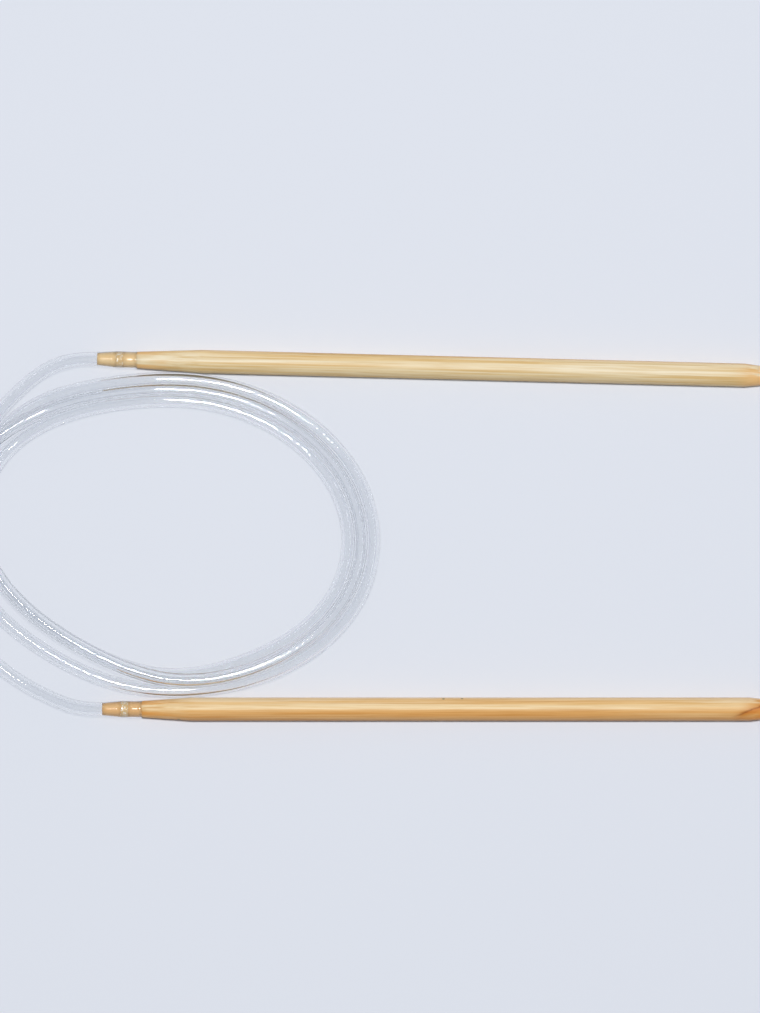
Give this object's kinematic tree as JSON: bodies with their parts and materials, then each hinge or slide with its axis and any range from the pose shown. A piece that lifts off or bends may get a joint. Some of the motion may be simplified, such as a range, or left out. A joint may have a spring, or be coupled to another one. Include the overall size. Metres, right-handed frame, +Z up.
{
  "type": "circular knitting needle",
  "caption": "Circular knitting needle: two tapered bamboo needles joined by a long clear plastic tube that lies wound in a loose oval coil.",
  "frame": {"origin": "middle of the box over the two needles, at the level of the surface they lie on", "axes": "+X from the needles' tube ends to their points, +Y to the left needle, +Z up"},
  "size_m": [0.1709, 0.0716, 0.0054],
  "materials": {
    "bamboo_pale": "sanded and waxed bamboo",
    "bamboo_warm": "sanded and waxed bamboo",
    "adhesive": "clear set adhesive",
    "clear_tube": "clear flexible extruded tube"
  },
  "bodies": {
    "root": {"left_needle": "bamboo_pale", "right_needle": "bamboo_warm", "left_adhesive": "adhesive", "right_adhesive": "adhesive", "left_lead": "clear_tube", "right_lead": "clear_tube", "tube_coil": "clear_tube"}
  },
  "joints": []
}
